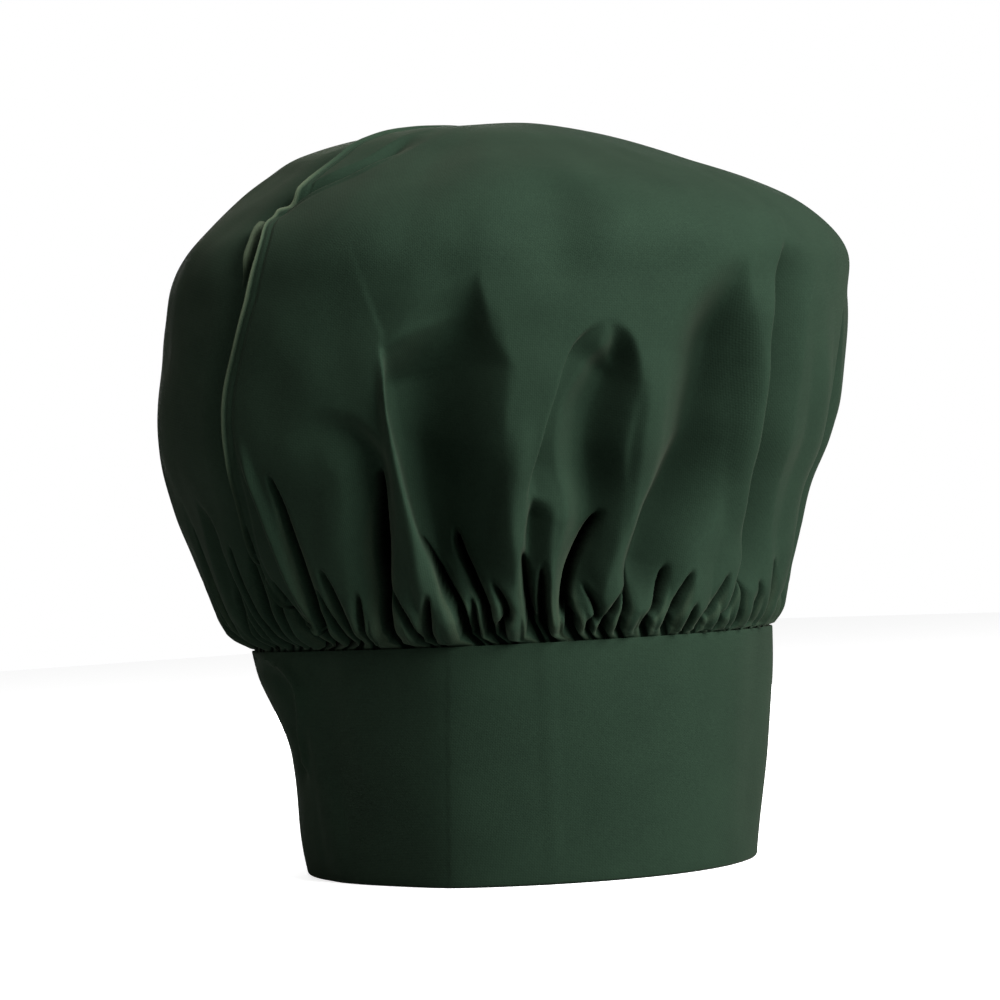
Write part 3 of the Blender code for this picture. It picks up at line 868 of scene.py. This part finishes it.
def strip_object(name, start, end, columns, closed_start=False, closed_end=False):
    angles = list(np.linspace(start, end, columns))
    closer = (0.75, 0.5, 0.32, 0.18, 0.08, 0.02)
    angles += [end - step for step in closer if closed_end]
    angles += [start + step for step in closer if closed_start]
    angles = sorted({round(a, 5) for a in angles})
    rings = []
    for a in angles:
        section = np.array(strip_section(*strip_edges(a)))
        gap = min((end - a) if closed_end else 9.0, (a - start) if closed_start else 9.0)
        t = max(0.0, 1 - gap * MM_PER_DEGREE / 1.2)
        flat = max(0.04, (1 - t * t) ** 0.5)
        depth = BAND_THICKNESS / 2 + (section[:, 0] - BAND_THICKNESS / 2) * flat
        rings.append(strip_points(np.full(len(section), a), depth, section[:, 1]))
    n = len(section)
    faces = loft_faces(len(angles), n, caps=0)
    for c in (0, len(angles) - 1):
        faces += [tuple(c * n + i for i in quad) for quad in section_caps(n)]
    made = mesh_object(name, np.concatenate(rings), faces)
    rework(made.data, lambda bm: bmesh.ops.recalc_face_normals(bm, faces=bm.faces))
    made.data.set_sharp_from_angle(angle=radians(50))
    return made


def strip_slab(name, near, far, low, high, rows, angles):
    """A thin solid that follows the headband, from one depth and height to another."""
    up = np.linspace(low, high, rows)
    section = np.array([(near, z) for z in up] + [(far, z) for z in up[::-1]])
    depth, z = section.T
    rings = np.concatenate([strip_points(np.full(len(z), a), depth, z) for a in angles])
    return mesh_object(name, rings, loft_faces(len(angles), len(z)), smooth=False)


def liner_object(name, start, end, low, top, columns):
    """The stiff sheet between the band's two walls."""
    near = CLOTH + LINER_GAP
    far = near + LINER_THICKNESS
    return strip_slab(name, near, far, low, top, 36, np.linspace(start, end, columns))


# Sewing

# One nylon hook: how far out of the tape, and along it
HOOK_SHAPE = ((0, 0), (0.0005, 0), (0.0008, 0.00012), (0.0009, 0.0004), (0.0007, 0.00058))


def thread_mesh(name, stitches, radius=0.00022, sides=6):
    """Short stitches as one mesh. Each stitch is a list of points, and is a little thicker
    in its middle than at its ends, where it goes into the cloth."""
    points, faces = [], []
    for line in stitches:
        line = [Vector(p) for p in line]
        base = len(points)
        for k, p in enumerate(line):
            way = (line[min(k + 1, len(line) - 1)] - line[max(k - 1, 0)]).normalized()
            across = way.cross(Vector((0.31, 0.17, 0.94))).normalized()
            up = way.cross(across)
            t = k / (len(line) - 1)
            r = radius * (0.55 + 0.55 * sin(pi * t) ** 0.6)
            for q in range(sides):
                a = 2 * pi * q / sides
                points.append(p + r * (cos(a) * across + sin(a) * up))
        faces += [tuple(base + v for v in face) for face in loft_faces(len(line), sides)]
    return mesh_object(name, points, faces)


def running_stitches(path, outward, length=0.0028, gap=0.0009, rise=0.00016, steps=5):
    """Stitches along a dense path, bowed a little off the cloth along outward."""
    path = np.asarray(path, float)
    outward = np.asarray(outward, float)
    along = arc_lengths(path)
    made = []
    start = gap / 2
    while start + length <= along[-1]:
        at = start + length * np.linspace(0, 1, steps)
        bow = rise * (np.sin(np.pi * np.linspace(0, 1, steps)) - 0.4)
        lift = read_along(at, along, outward)
        made.append(read_along(at, along, path) + bow[:, None] * lift)
        start += length + gap
    return made


def band_stitches(name, run, side):
    """A line of stitches on the strip, through (angle, height) corners: side is 1 on its
    outer face and -1 on its lining."""
    depth = -STITCH_PROUD if side > 0 else BAND_THICKNESS + STITCH_PROUD
    angles, heights = [], []
    for (a, h), (b, k) in zip(run, run[1:]):
        t = np.linspace(0, 1, 60 if abs(b - a) > 30 else 12)
        angles += list(a + (b - a) * t)
        heights += list(h + (k - h) * t)
    angles = np.array(angles)
    places = strip_points(angles, depth, np.array(heights))
    return thread_mesh(name, running_stitches(places, side * outwards(angles)))


def box_run(tape):
    """Corners of the stitched box on a tape."""
    first, last = tape[0] + 1, tape[1] - 1
    low, high = TAPE_STITCH_HEIGHTS
    return ((first, low), (last, low), (last, high), (first, high), (first, low))


def allowance_object(grid):
    """The two raw edges behind the crown's seam, pressed together and overlocked."""
    half = COLUMNS // 2 + 1
    line = np.concatenate([grid[8:-1, half], grid[-1:, 0], grid[8:-1, 0][::-1]])
    for _ in range(6):
        line[1:-1] = 0.25 * (line[:-2] + line[2:]) + 0.5 * line[1:-1]
    way = unit(np.gradient(line, axis=0))
    across = np.array([0.0, 1.0, 0.0])
    across = unit(across - (way @ across)[:, None] * way)
    inward = np.cross(across, way)
    middle = np.array([0.0, 0.0, 0.17])
    inward *= np.sign(np.einsum("ij,ij->i", inward, middle - line))[:, None]
    along = arc_lengths(line)
    ripple = 0.0007 * np.sin(along / 0.0062) + 0.0009 * np.sin(along / 0.0171 + 1.0)
    ends = np.minimum(1.0, np.minimum(along, along[-1] - along) / 0.012)
    width = 0.0080 * np.clip(0.35 + 0.65 * ends, 0, 1)
    shown = [(0.0012, 0.0006), (0.5, 0.0007), (1.0, 0.0006)]
    section = [(reach, -side) for reach, side in shown] + shown[::-1]
    points = [
        p + inward[k] * (SEAM_INSET + width[k] * reach) + across[k] * (side + ripple[k] * reach)
        for k, p in enumerate(line)
        for reach, side in section
    ]
    strip = mesh_object("crown_seam_edges", points, loft_faces(len(line), len(section), caps=-1))
    # overlock: a thread that winds round the raw edge
    turns = []
    step = 0.0022
    for start in np.arange(0.004, along[-1] - 0.004, step):
        loop = []
        for t in np.linspace(0, 1, 7):
            at, turn = start + step * t, 2 * pi * t
            p, i, c = (read_along(at, along, vectors) for vectors in (line, inward, across))
            edge = SEAM_INSET + np.interp(at, along, width)
            reach = edge - 0.0016 + 0.0012 * sin(turn / 2) - 0.0008 * cos(turn)
            side = 0.0010 * sin(turn) + np.interp(at, along, ripple)
            loop.append(p + i * reach + c * side)
        turns.append(loop)
    return strip, thread_mesh("crown_seam_overlock", turns, radius=0.00018, sides=5)


def bar_tack(grid):
    """The bar of close stitches across the top of the slit."""
    row = int(np.argmax(grid[:, SLIT_COLUMN, 2] > SLIT_TOP + 0.001))
    middle = grid[row, SLIT_COLUMN]
    out = np.array([0.0, 1.0, 0.0])
    stitches = []
    step = 0.008 / 15
    for k in range(16):
        x, low = step * k - 0.004, -0.0011 if k % 2 else 0.0011
        a, b = (middle + np.array([x + dx, 0.00015, z]) for dx, z in ((0, low), (step, -low)))
        stitches.append([a, (a + b) / 2 + out * 0.0002, b])
    return thread_mesh("slit_tack_threads", stitches, radius=0.00026)


def slit_hems(grid):
    """Stitch lines along the turned edges of the slit."""
    made = []
    foot = len(CROWN_FOOT)
    for column, step in ((SLIT_COLUMN, -1), (SLIT_COLUMN + 1, 1)):
        low = grid[foot:, column, 2] < SLIT_TOP + 0.002
        near = grid[foot:, column + 5 * step][low]
        outward = outwards(np.degrees(np.arctan2(near[:, 1], near[:, 0])))
        made += running_stitches(near + 0.0002 * outward, outward, length=0.0024, gap=0.0008)
    return thread_mesh("slit_hem_stitches", made)


def label_object():
    """The folded woven label, sewn in at its top edge and bowing a little."""
    low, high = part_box("care_label")
    width, top, bottom = high[1] - low[1], high[2], low[2]
    columns, rows = 31, 43
    points = []
    for r in range(rows):
        t = r / (rows - 1)
        z = top + (bottom - top) * t
        for c in range(columns):
            u = c / (columns - 1) - 0.5
            y = u * width
            x = high[0] - 0.0004 + (low[0] + 0.0006 - high[0]) * t
            x -= 0.0012 * sin(pi * t) * (1 - 0.5 * cos(2 * pi * u))
            x += 0.0007 * sin(2 * pi * u + 0.6) * t * t
            points.append((x, y, z))
    faces = [
        (r * columns + c, r * columns + c + 1, (r + 1) * columns + c + 1, (r + 1) * columns + c)
        for r in range(rows - 1)
        for c in range(columns - 1)
    ]
    made = mesh_object("woven_label", points, faces)
    thicken(made, 0.0004, 0.0)
    soft = made.modifiers.new("edge", "BEVEL")
    soft.width = 0.00012
    soft.segments = 2
    soft.limit_method = "ANGLE"
    apply_modifiers(made)
    return made


def tape_object(name, tape, near, far, hooks=False):
    """A piece of hook and loop tape on the headband, from one depth to another: a woven
    backing with its pile. It lies where the CAD's tape is."""
    first, last = tape
    low, high = TAPE_HEIGHTS
    angles = np.linspace(first, last, max(2, int((last - first) * 2)))
    base = strip_slab(name, near, far, low, high, 12, angles)
    rng = np.random.default_rng(17 if hooks else 18)
    pitch, rise = (0.62, 0.00105) if hooks else (0.8, 0.0014)
    threads = []
    for a in np.arange(first + 0.7, last - 0.6, pitch):
        for k, z in enumerate(np.arange(low + 0.0016, high - 0.0014, rise)):
            a_here = a + (0.3 if k % 2 else 0.0) + (0 if hooks else rng.uniform(-0.3, 0.3))
            z_here = z + (0 if hooks else rng.uniform(-0.0004, 0.0004))
            place = strip_points(np.array([a_here]), far, np.array([z_here]))[0]
            out = outwards(a_here) * (1 if near > far else -1)
            side = outwards(a_here + 90)
            if hooks:
                threads.append([place + out * (o - 0.0001) + side * q for o, q in HOOK_SHAPE])
                continue
            lean = rng.uniform(-0.5, 0.5)
            spread = rng.uniform(0.0004, 0.0007)
            lie = side * cos(lean) + np.array([0, 0, sin(lean)])
            threads.append([
                place + out * (0.0005 * sin(pi * t) - 0.00005) + spread * cos(pi * t) * lie
                for t in np.linspace(0, 1, 5)
            ])
    radius = 0.00010 if hooks else 0.00007
    return base, thread_mesh(name + "_pile", threads, radius=radius, sides=4)


# Materials

TWILL_PITCH = 0.00062
TWILL_DARK = (0.0068, 0.0182, 0.0098)
TWILL_LIGHT = (0.0128, 0.0300, 0.0168)
# the colour that the painted highlight adds on the pressed rims and lips
TWILL_PAINTED_HIGHLIGHT = (0.080, 0.090, 0.056)


def shader_of(material):
    return next(n for n in material.node_tree.nodes if n.type == "BSDF_PRINCIPLED")


def new_material(name, roughness, sheen=0.0, specular=0.5):
    made = bpy.data.materials.new(name)
    made.use_nodes = True
    settings = {"Roughness": roughness, "Specular IOR Level": specular, "Sheen Weight": sheen}
    fill(made, shader_of(made), settings)
    return made


def fill(owner, target, inputs):
    """Links each input to a socket, or sets its value."""
    for key, value in inputs.items():
        if isinstance(value, bpy.types.NodeSocket):
            owner.node_tree.links.new(value, target.inputs[key])
        else:
            target.inputs[key].default_value = value


def node(owner, kind, inputs=None, **settings):
    made = owner.node_tree.nodes.new("ShaderNode" + kind)
    for key, value in settings.items():
        setattr(made, key, value)
    fill(owner, made, inputs or {})
    return made


def maths(owner, operation, a, b=None, c=None, clamp=False):
    inputs = {k: v for k, v in enumerate((a, b, c)) if v is not None}
    return node(owner, "Math", inputs, operation=operation, use_clamp=clamp).outputs[0]


def vector_maths(owner, operation, inputs):
    return node(owner, "VectorMath", inputs, operation=operation).outputs


def total(owner, *parts, clamp=False):
    """The sum of some (socket, weight) parts."""
    made = maths(owner, "MULTIPLY", *parts[0])
    for k, (part, weight) in enumerate(parts[1:], 2):
        last = clamp and k == len(parts)
        made = maths(owner, "MULTIPLY_ADD", part, weight, made, clamp=last)
    return made


def waves(owner, along, length):
    return maths(owner, "SINE", maths(owner, "MULTIPLY", along, 2 * pi / length))


def noise(owner, place, scale, detail, roughness=0.5, distortion=0.0):
    inputs = {"Vector": place, "Scale": scale, "Detail": detail}
    inputs |= {"Roughness": roughness, "Distortion": distortion}
    return node(owner, "TexNoise", inputs).outputs["Fac"]


def ramp(owner, value, *stops):
    """Colours over a value, from (place, colour) stops."""
    made = node(owner, "ValToRGB", {"Fac": value})
    elements = made.color_ramp.elements
    for k, (place, colour) in enumerate((stops[0], stops[-1])):
        elements[k].position, elements[k].color = place, (*colour, 1)
    for place, colour in stops[1:-1]:
        elements.new(place).color = (*colour, 1)
    return made.outputs["Color"]


def dress(material, colour, height, strength, distance):
    """Gives the material its colour, and bumps of this height."""
    inputs = {"Height": height, "Strength": strength, "Distance": distance}
    bumps = node(material, "Bump", inputs).outputs["Normal"]
    fill(material, shader_of(material), {"Base Color": colour, "Normal": bumps})
    return material


def times(colour, share):
    return [min(1, channel * share) for channel in colour]


def place_in(material):
    return node(material, "TexCoord").outputs["Object"]


def split(material, place):
    """Its x, y and z."""
    return node(material, "SeparateXYZ", {0: place}).outputs


def twill_material(name, radius):
    """The hat's cloth: a fine close weave of threads one way and the other, with a faint
    slant. It is laid out from the way round the hat at this radius and the way up, so
    that it lies along every upright surface."""
    sheen, specular = 0.035, 0.15
    made = new_material(name, 0.88)
    place = place_in(made)
    x, y, up = split(made, place)
    across = maths(made, "MULTIPLY", maths(made, "ARCTAN2", y, x), radius)
    slant = waves(made, maths(made, "ADD", across, up), 2 * TWILL_PITCH)
    threads = [(waves(made, way, TWILL_PITCH), 0.5) for way in (across, up)]
    weave = total(made, *threads, (slant, 0.35))
    slub = noise(made, place, 900, 3, 0.6)
    mottle = noise(made, place, 38, 4, 0.55)
    tone = total(made, (weave, 0.10), (slub, 0.55), (mottle, 0.50), clamp=True)
    colour = ramp(made, tone, (0.25, TWILL_DARK), (0.80, TWILL_LIGHT))
    # painted highlight along the pressed rims and the tucks' lips, painted shade down in the
    # tight gaps and the broad valleys
    painted_shading = node(made, "Attribute", attribute_name="painted_shading").outputs["Fac"]
    factor = maths(made, "MULTIPLY_ADD", maths(made, "MINIMUM", painted_shading, 0.0), 0.85, 1.0)
    shade = vector_maths(made, "SCALE", {0: colour, "Scale": factor})[0]
    paler = maths(made, "MAXIMUM", painted_shading, 0.0)
    painted_highlight = vector_maths(made, "SCALE", {0: TWILL_PAINTED_HIGHLIGHT, "Scale": paler})[0]
    colour = vector_maths(made, "ADD", {0: shade, 1: painted_highlight})[0]
    fill(made, shader_of(made), {
        "Sheen Roughness": 0.45,
        "Sheen Tint": (0.95, 1.0, 0.72, 1),
        # the painted shade dims the sheen and the specular with it
        "Sheen Weight": maths(made, "MULTIPLY", factor, sheen),
        "Specular IOR Level": maths(made, "MULTIPLY", factor, specular),
    })
    crumple = noise(made, place, 55, 5, 0.5, 0.4)
    height = total(made, (weave, 0.00010), (slub, 0.00012), (crumple, 0.0011))
    return dress(made, colour, height, 0.22, 1.0)


def noise_material(name, colour, roughness, scale, strength, sheen=0.0):
    made = new_material(name, roughness, sheen, specular=0.3)
    grain = noise(made, place_in(made), scale, 4, 0.65)
    shades = ramp(made, grain, (0.3, times(colour, 0.75)), (0.7, times(colour, 1.25)))
    return dress(made, shades, grain, strength, 0.0004)


def thread_material(name, colour):
    """Twisted sewing thread: fine slanting plies along every stitch."""
    made = new_material(name, 0.6, sheen=0.1, specular=0.3)
    inputs = {"Vector": place_in(made), "Scale": 900, "Distortion": 1.5, "Detail": 1}
    plies = node(made, "TexWave", inputs, wave_type="BANDS", bands_direction="DIAGONAL")
    plies = plies.outputs["Fac"]
    shades = ramp(made, plies, (0, times(colour, 0.6)), (1, colour))
    return dress(made, shades, plies, 0.4, 0.0001)


def label_material(name, colour):
    """Woven satin ribbon: fine ribs across it and a soft shine."""
    made = new_material(name, 0.42, sheen=0.15, specular=0.4)
    place = place_in(made)
    _, y, z = split(made, place)
    weave = total(made, (waves(made, z, 0.00045), 0.5), (waves(made, y, 0.0003), 0.25))
    grime = noise(made, place, 160, 3)
    tone = maths(made, "MULTIPLY_ADD", weave, 0.2, grime, clamp=True)
    shades = ramp(made, tone, (0.2, times(colour, 0.82)), (0.8, colour))
    return dress(made, shades, weave, 0.25, 0.0001)


# Camera, light and floor


def make_camera():
    back = Vector((sin(radians(AZIMUTH)), -cos(radians(AZIMUTH)), 0))
    data = bpy.data.cameras.new("camera")
    data.lens = 112.5
    data.sensor_width = 36.0
    camera = link("camera", data)
    camera.location = back * DISTANCE + Vector((0, 0, CAMERA_HEIGHT))
    pitch, roll, aside = radians(1.15), radians(-2.95), radians(0.24)
    level = Matrix.Rotation(radians(AZIMUTH), 4, "Z") @ Matrix.Rotation(radians(90), 4, "X")
    turn = Matrix.Rotation(pitch, 4, "X") @ Matrix.Rotation(aside, 4, "Y")
    turn = level @ turn @ Matrix.Rotation(roll, 4, "Z")
    camera.matrix_world = Matrix.Translation(camera.location) @ turn
    bpy.context.scene.camera = camera


def area_light(name, place, target, size, power, colour=(1, 1, 1)):
    data = bpy.data.lights.new(name, "AREA")
    data.shape = "DISK"
    data.size = size
    data.energy = power
    data.color = colour
    lamp = link(name, data)
    lamp.location = place
    lamp.rotation_euler = (Vector(target) - Vector(place)).to_track_quat("-Z", "Y").to_euler()


def view_place(right, toward, up):
    """A place given as seen by the camera: metres to the right, towards it, and up."""
    turn = radians(AZIMUTH)
    across = Vector((cos(turn), sin(turn), 0))
    back = Vector((sin(turn), -cos(turn), 0))
    return across * right + back * toward + Vector((0, 0, up))


def make_world():
    """A soft studio that is bright to one side and dim to the other, in front of white."""
    world = bpy.data.worlds.new("studio")
    bpy.context.scene.world = world
    world.use_nodes = True
    # brightest this way, as the camera sees it
    towards = view_place(0.60, 0.45, 0.66).normalized()
    facing = node(world, "TexCoord").outputs["Generated"]
    near = vector_maths(world, "DOT_PRODUCT", {0: facing, 1: towards})["Value"]
    level = maths(world, "MULTIPLY_ADD", near, 0.5, 0.5)
    stops = ((0, 0.10), (0.45, 0.14), (0.70, 0.40), (0.88, 0.80), (1, 1))
    colour = ramp(world, level, *((place, 3 * (grey,)) for place, grey in stops))
    studio = world.node_tree.nodes["Background"]
    fill(world, studio, {"Color": colour, "Strength": 0.30})
    white = node(world, "Background", {"Color": (1, 1, 1, 1)})
    show_camera(world, studio, white, "World Output")


def show_camera(owner, lighting, seen, output):
    """The lighting shader is for the rest of the scene, and the camera sees the other."""
    camera = node(owner, "LightPath").outputs["Is Camera Ray"]
    mixed = node(owner, "MixShader", {0: camera, 1: lighting.outputs[0], 2: seen.outputs[0]})
    fill(owner, owner.node_tree.nodes[output], {"Surface": mixed.outputs[0]})


def make_studio():
    make_world()
    area_light("key", view_place(1.08, 0.97, 0.90), (0, 0, 0.16), 1.20, 63)
    area_light("overhead", view_place(0.05, 0.25, 1.90), (0, 0, 0.2), 0.8, 6)
    warm = (1.0, 0.94, 0.84)
    area_light("left_fill", view_place(-1.30, 0.15, 0.45), (0, 0, 0.14), 0.9, 1.6, warm)
    area_light("back_fill", view_place(-0.10, -1.45, 0.35), (0, 0, 0.14), 1.0, 16)
    mesh = bpy.data.meshes.new("floor")
    rework(mesh, lambda bm: bmesh.ops.create_grid(bm, x_segments=8, y_segments=8, size=3.0))
    floor = link("floor", mesh)
    pale = new_material("pale_floor", 0.9, specular=0.1)
    fill(pale, shader_of(pale), {
        "Base Color": (0.93, 0.93, 0.93, 1),
        "Emission Color": (1, 1, 1, 1),
        "Emission Strength": 0.75,
    })
    # what the floor throws back on to the hat is dimmer than what the camera sees
    dim = node(pale, "BsdfDiffuse", {"Color": (0.30, 0.30, 0.30, 1)})
    show_camera(pale, dim, shader_of(pale), "Material Output")
    mesh.materials.append(pale)
    bpy.context.scene.view_settings.view_transform = "Standard"
    bpy.context.scene.view_settings.look = "None"


def make_crown(cloth):
    grid, painted_shading = crown_grid(ROWS)
    half = COLUMNS // 2 + 1
    back = panel_object("crown_back_cloth", grid, painted_shading, 0, half, slit=SLIT_COLUMN)
    front = panel_object("crown_front_cloth", grid, painted_shading, half, COLUMNS + 1)
    for panel, cad in ((front, "crown_front_panel"), (back, "crown_back_panel")):
        thicken(panel, CLOTH)
        apply_modifiers(panel)
        panel.data.materials.append(cloth)
        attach(panel, "hat")
        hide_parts(cad)
    return grid, front, back


def add(piece, body, material, slot, *nodes):
    piece.data.materials.clear()
    piece.data.materials.append(material)
    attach(piece, body)
    if nodes:
        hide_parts(*nodes)
    return piece


def main():
    make_camera()
    make_studio()
    crown_twill = twill_material("crown_twill", 0.125)
    band_twill = twill_material("band_twill", 0.095)
    thread = thread_material("green_sewing_thread", (0.0150, 0.0330, 0.0190))
    overlock = thread_material("overlock_thread", (0.0190, 0.0400, 0.0240))
    felt = noise_material("stiffener_felt", (0.60, 0.60, 0.57), 0.9, 700.0, 0.3)
    satin = label_material("label_satin", (0.70, 0.70, 0.66))
    hook_nylon = noise_material("hook_nylon_green", (0.012, 0.026, 0.016), 0.45, 2600.0, 0.2)
    pile_green = (0.014, 0.030, 0.018)
    loop_pile = noise_material("loop_pile_green", pile_green, 0.95, 3200.0, 0.6, sheen=0.2)

    grid, front, back = make_crown(crown_twill)
    edges, overlocking = allowance_object(grid)
    add(edges, "hat", crown_twill, "green_twill", "crown_seam_allowance")
    add(overlocking, "hat", overlock, "green_thread")
    add(bar_tack(grid), "hat", thread, "green_thread", "slit_bar_tack")
    hems = add(slit_hems(grid), "hat", thread, "green_thread")

    band = strip_object("headband_cloth", UNDERLAP_END, STRAP_START, 640, closed_start=True)
    add(band, "hat", band_twill, "green_twill", "headband_shell")
    strap = strip_object("closure_strap_cloth", STRAP_START, TAB_END, 90, closed_end=True)
    strap.data.materials.append(band_twill)
    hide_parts("closure_tab_shell")
    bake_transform(strap)
    # both stiffeners end clear of the hinge, where the cloth bends
    start, end = UNDERLAP_END + 1, TAB_ROOT - HINGE_REACH
    liner = liner_object("headband_stiffener", start, end, 0.0015, 0.0821, 640)
    add(liner, "hat", felt, "white_interfacing", "headband_interfacing")
    start, end = TAB_ROOT + HINGE_REACH, TAB_END - 1.2
    tab_liner = liner_object("tab_stiffener", start, end, 0.0075, 0.0795, 24)
    add(tab_liner, "tab", felt, "white_interfacing", "closure_tab_interfacing")

    def sew(name, run, side, body, cad):
        add(band_stitches(name, run, side), body, thread, "green_thread", cad)

    seam = BAND_HEIGHT - 0.0035
    sew("gather_seam_stitches", ((92, seam), (448, seam)), -1, "hat", "gather_stitching")
    loops, loop_fuzz = tape_object("loop_tape_backing", LOOP_TAPE, 0.0, -TAPE_THICKNESS)
    add(loops, "hat", loop_pile, "loop_pile", "loop_tape")
    add(loop_fuzz, "hat", loop_pile, "loop_pile")
    near, far = BAND_THICKNESS, BAND_THICKNESS + TAPE_THICKNESS
    hooks, hook_rows = tape_object("hook_tape_backing", HOOK_TAPE, near, far, hooks=True)
    add(hooks, "tab", hook_nylon, "hook_nylon", "hook_tape")
    add(hook_rows, "tab", hook_nylon, "hook_nylon")
    sew("loop_tape_stitches", box_run(LOOP_TAPE), -1, "hat", "loop_tape_stitching")
    sew("hook_tape_stitches", box_run(HOOK_TAPE), 1, "tab", "hook_tape_stitching")
    half_run = ((TAB_ROOT + 1, 0.0062), (TAB_END - 2.6, 0.0062), (TAB_END - 1.7, 0.0078))
    back_run = tuple((angle, BAND_HEIGHT - height) for angle, height in half_run[::-1])
    sew("tab_edge_stitches", half_run + back_run, 1, "tab", "tab_end_stitching")

    label = label_object()
    add(label, "label", satin, "white_label", "care_label")
    side = degrees(0.0135 / 0.0885)
    label_run = ((360 - side, 0.0825), (360 + side, 0.0825))
    sew("label_stitches", label_run, -1, "hat", "care_label_stitching")


main()
